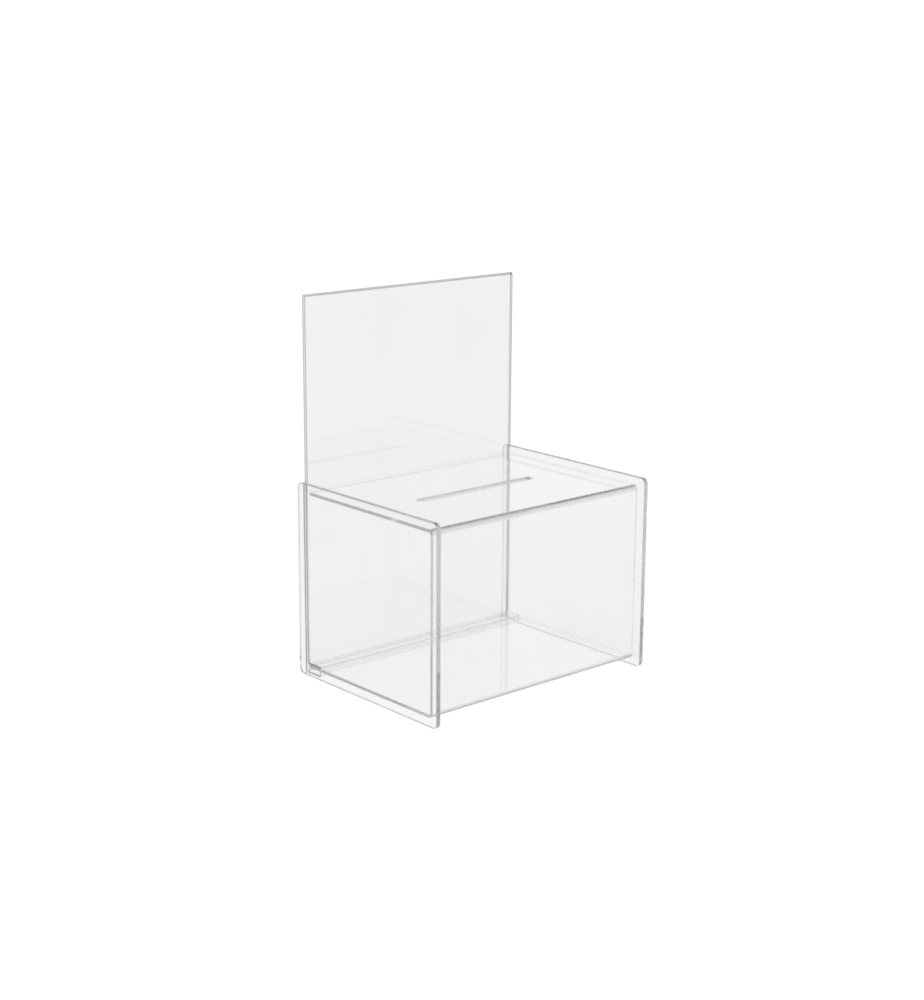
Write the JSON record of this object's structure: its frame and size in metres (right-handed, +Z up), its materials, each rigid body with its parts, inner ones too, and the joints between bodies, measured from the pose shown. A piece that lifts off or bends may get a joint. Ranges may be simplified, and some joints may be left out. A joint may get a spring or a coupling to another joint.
{
  "type": "donation box",
  "caption": "Clear acrylic donation box with a coin slot in its top and a tall poster header that slides up to open the back",
  "frame": {"origin": "under the middle of the box, on the surface that it stands on: the bottom centre of the bounding box", "axes": "+Z up, +X to the right seen from the front, the front faces -Y"},
  "size_m": [0.228, 0.175, 0.316],
  "materials": {
    "side_acrylic": "clear polished acrylic, 4 mm",
    "sheet_acrylic": "clear glossy acrylic, 2.5 mm and 1.5 mm, heat-bent",
    "header_acrylic": "clear glossy acrylic, 1.5 mm, heat-bent"
  },
  "bodies": {
    "box_shell": {"side_panel_left": "side_acrylic", "side_panel_right": "side_acrylic", "top_front_floor_sheet": "sheet_acrylic", "bottom_ledge": "sheet_acrylic"},
    "header_sleeve": {"rear_header_sleeve": "header_acrylic"}
  },
  "joints": [
    {"name": "sleeve_lift", "type": "slide", "parent": "box_shell", "child": "header_sleeve", "axis": [0, 0, 1], "range_m": [0, 0.142]}
  ]
}
